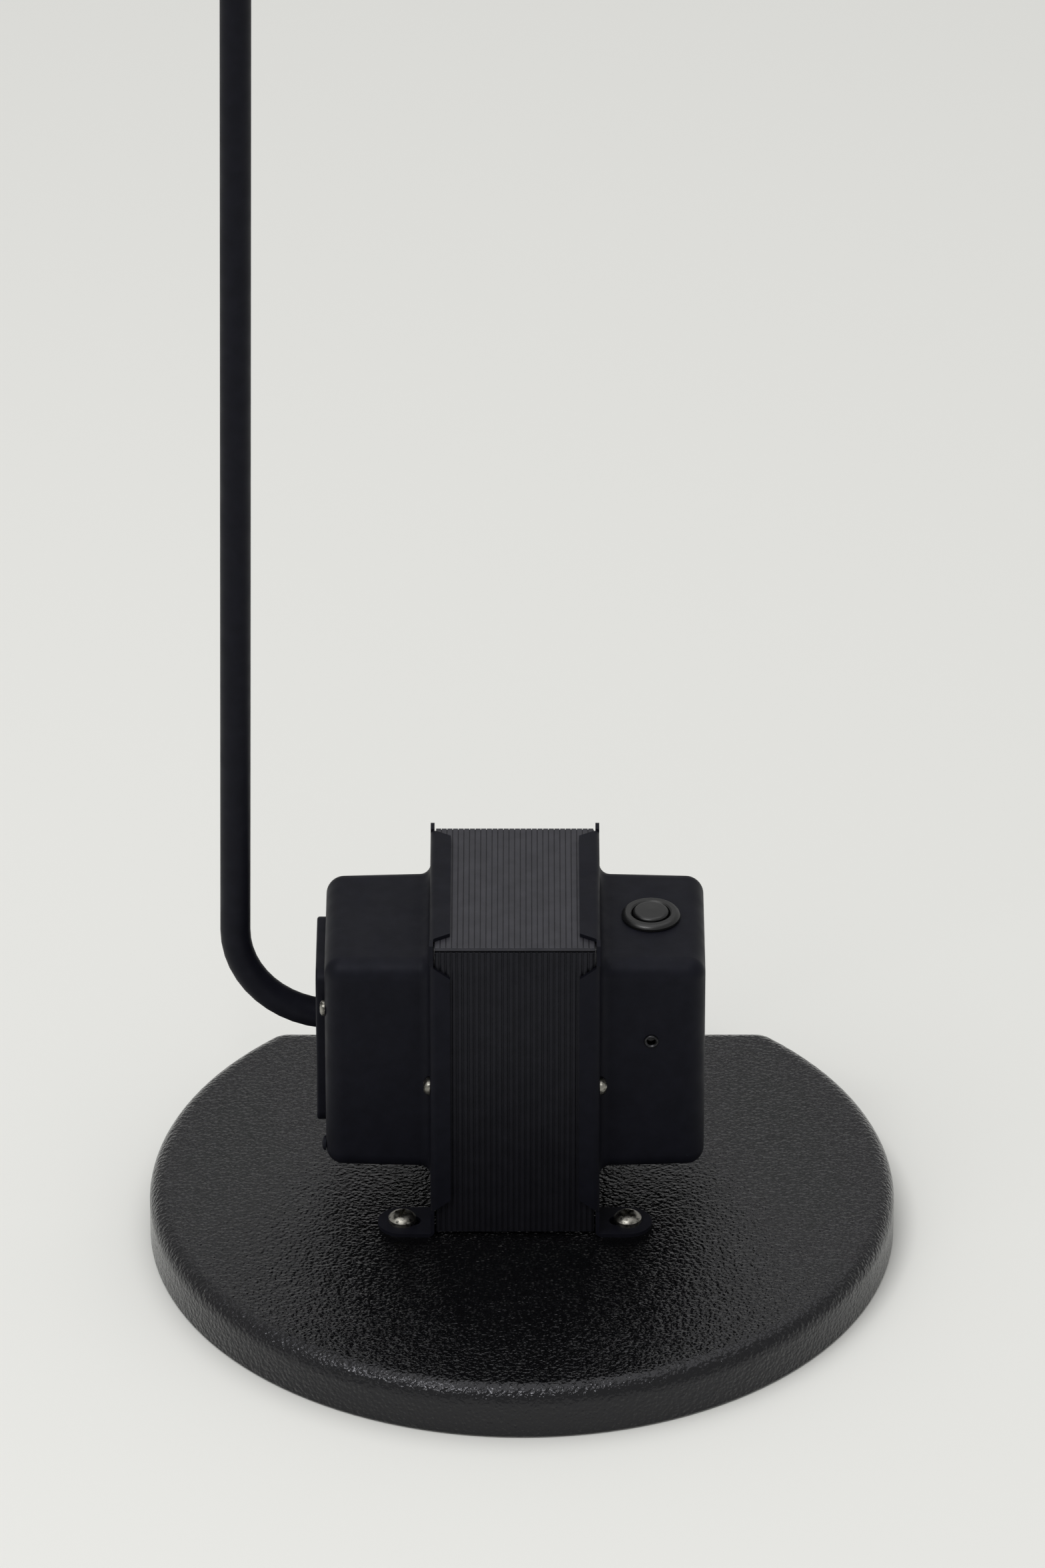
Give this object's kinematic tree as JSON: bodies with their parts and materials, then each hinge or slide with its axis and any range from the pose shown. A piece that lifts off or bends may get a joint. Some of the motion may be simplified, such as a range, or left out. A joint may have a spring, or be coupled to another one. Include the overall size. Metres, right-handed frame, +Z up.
{
  "type": "low-voltage lamp stand",
  "caption": "Clamped transformer with a push-button on a heavy D-shaped cast base; its end bell carries a bent tube stem with a swivelling arm and tilting lamp head.",
  "frame": {"origin": "centre of the base's arc, on the floor plane under the rubber pad", "axes": "+Z up the stem, +X towards the end bell with the push-button, +Y towards the base's flat back"},
  "size_m": [0.4822, 0.218, 0.9867],
  "materials": {
    "base_enamel": "pebbled gloss black enamel",
    "black_paint": "fine matte black powder coat",
    "cover_paint": "satin dark grey paint",
    "black_rubber": "matte",
    "electrical_steel": "stacked sheet edges",
    "plated_steel": "nickel plated",
    "bright_screw": "nickel plated",
    "dark_steel": "black oxide",
    "spring_wire": "drawn wire",
    "copper_wire": "enamelled copper",
    "bobbin_plastic": "moulded",
    "wrap_tape": "insulating tape",
    "switch_plastic": "semi-gloss",
    "terminal_brass": "plain",
    "block_plastic": "moulded",
    "wire_cover": "flexible cover",
    "knob_plastic": "moulded",
    "fibre_washer": "pressed fibre",
    "reflector_metal": "polished",
    "ceramic": "glazed",
    "clear_glass": "clear"
  },
  "bodies": {
    "stand": {"base_casting": "base_enamel", "base_pad": "black_rubber", "top_cover": "cover_paint", "front_cover": "cover_paint", "rear_cover": "cover_paint", "right_end_bell": "black_paint", "left_end_bell": "black_paint", "core_e_laminations": "electrical_steel", "core_i_laminations": "electrical_steel", "bobbin": "bobbin_plastic", "primary_winding": "copper_wire", "secondary_winding": "copper_wire", "coil_wrap": "wrap_tape", "core_screws": "bright_screw", "core_nuts": "bright_screw", "base_screws": "bright_screw", "switch_housing": "switch_plastic", "switch_nut": "plated_steel", "switch_terminals": "terminal_brass", "bell_eyelet": "dark_steel", "hole_plug": "black_paint", "side_plate": "black_paint", "plate_screws": "dark_steel", "earth_screw": "bright_screw", "stem_socket": "plated_steel", "stem_grub_screw": "plated_steel", "terminal_block": "block_plastic", "terminal_screws": "terminal_brass", "thermal_cutout": "block_plastic", "lead_wires": "wire_cover", "cord_grommet": "black_rubber", "stem_tube": "black_paint", "stem_ferrule": "black_paint", "swivel_washer": "plated_steel", "swivel_screw": "bright_screw"},
    "button": {"switch_cap": "switch_plastic", "switch_spring": "spring_wire"},
    "swivel": {"swivel_fork": "black_paint", "elbow_screw": "bright_screw", "elbow_knob": "knob_plastic", "friction_washers": "fibre_washer"},
    "arm": {"arm_hub": "black_paint", "arm_tube": "black_paint", "arm_end_fork": "black_paint", "head_screw": "bright_screw", "head_nut": "bright_screw", "head_washers": "fibre_washer"},
    "head": {"head_hub": "plated_steel", "shade": "black_paint", "shade_nut": "plated_steel", "lampholder": "ceramic", "reflector": "reflector_metal", "shade_glass": "clear_glass", "glass_ring": "plated_steel", "bulb": "clear_glass", "bulb_pins": "plated_steel", "shade_handle": "knob_plastic"}
  },
  "joints": [
    {"name": "button_press", "type": "slide", "parent": "stand", "child": "button", "axis": [0, 0, -1], "range_m": [0, 0.0018], "stiffness_N_per_m": 900, "springref_m": -0.001, "deforming": ["switch_spring"]},
    {"name": "arm_swivel", "type": "hinge", "parent": "stand", "child": "swivel", "pos_m": [-0.08387, 0.0032, 0.89569], "axis": [0.0141, 0, 0.9999], "range_deg": [-170, 170]},
    {"name": "arm_tilt", "type": "hinge", "parent": "swivel", "child": "arm", "pos_m": [-0.08333, 0.0032, 0.93368], "axis": [0, 1, 0], "range_deg": [-65, 45]},
    {"name": "head_tilt", "type": "hinge", "parent": "arm", "child": "head", "pos_m": [0.29368, 0.0032, 0.98125], "axis": [0, 1, 0], "range_deg": [-70, 20]}
  ]
}
